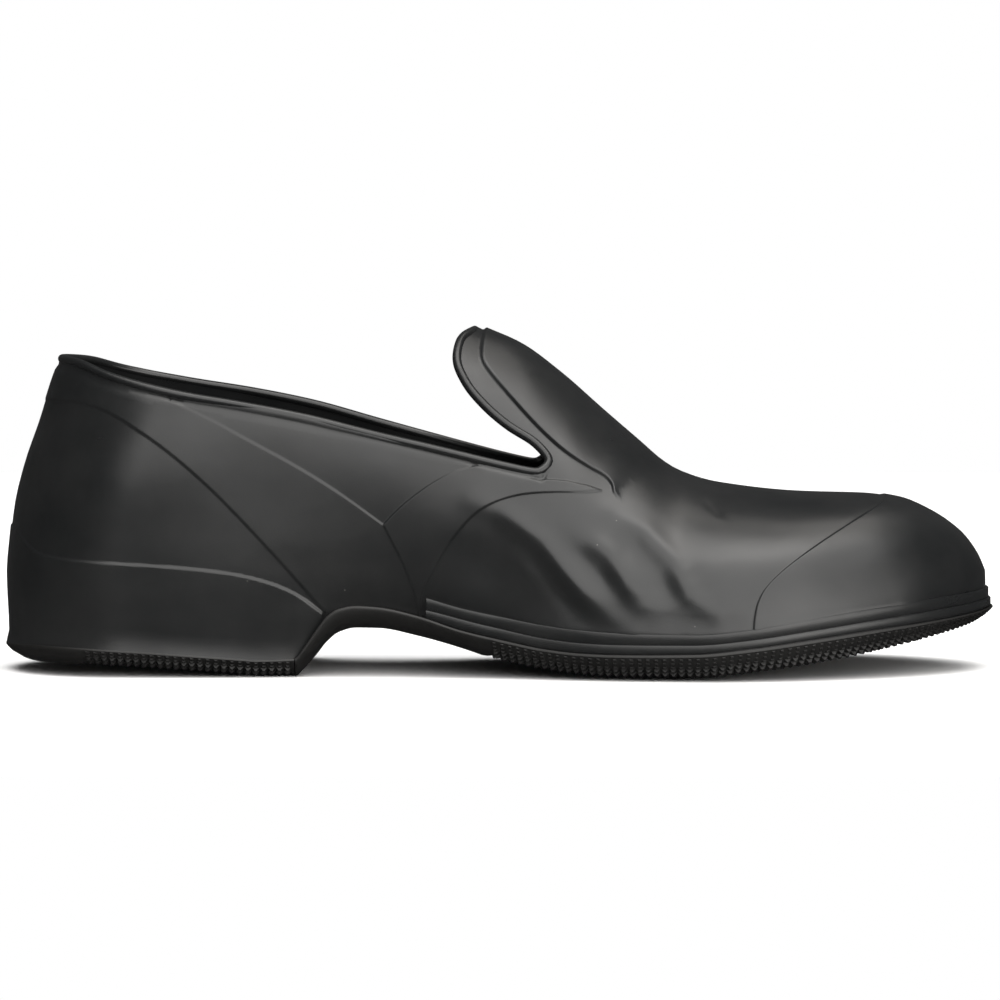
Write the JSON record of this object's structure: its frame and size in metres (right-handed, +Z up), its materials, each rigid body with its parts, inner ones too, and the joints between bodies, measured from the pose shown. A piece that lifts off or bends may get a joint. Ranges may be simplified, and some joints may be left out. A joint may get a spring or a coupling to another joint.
{
  "type": "rubber overshoe",
  "caption": "Black moulded rubber overshoe for a right foot, low cut, with a raised instep flap, stepped foxing and a fine-toothed sole.",
  "frame": {"origin": "middle of the shoe's box, on the floor that it stands on", "axes": "+X from the heel to the toe, +Y to the medial side, +Z up"},
  "size_m": [0.3084, 0.1096, 0.1064],
  "materials": {
    "upper_rubber": "satin moulded black rubber",
    "foxing_rubber": "satin moulded black rubber",
    "outsole_rubber": "matte black rubber with fine teeth",
    "heel_rubber": "matte black rubber with fine teeth",
    "insole_lining": "dark knitted lining on a thin footbed"
  },
  "bodies": {
    "root": {"upper": "upper_rubber", "foxing": "foxing_rubber", "outsole": "outsole_rubber", "heel": "heel_rubber", "insole": "insole_lining"}
  },
  "joints": []
}
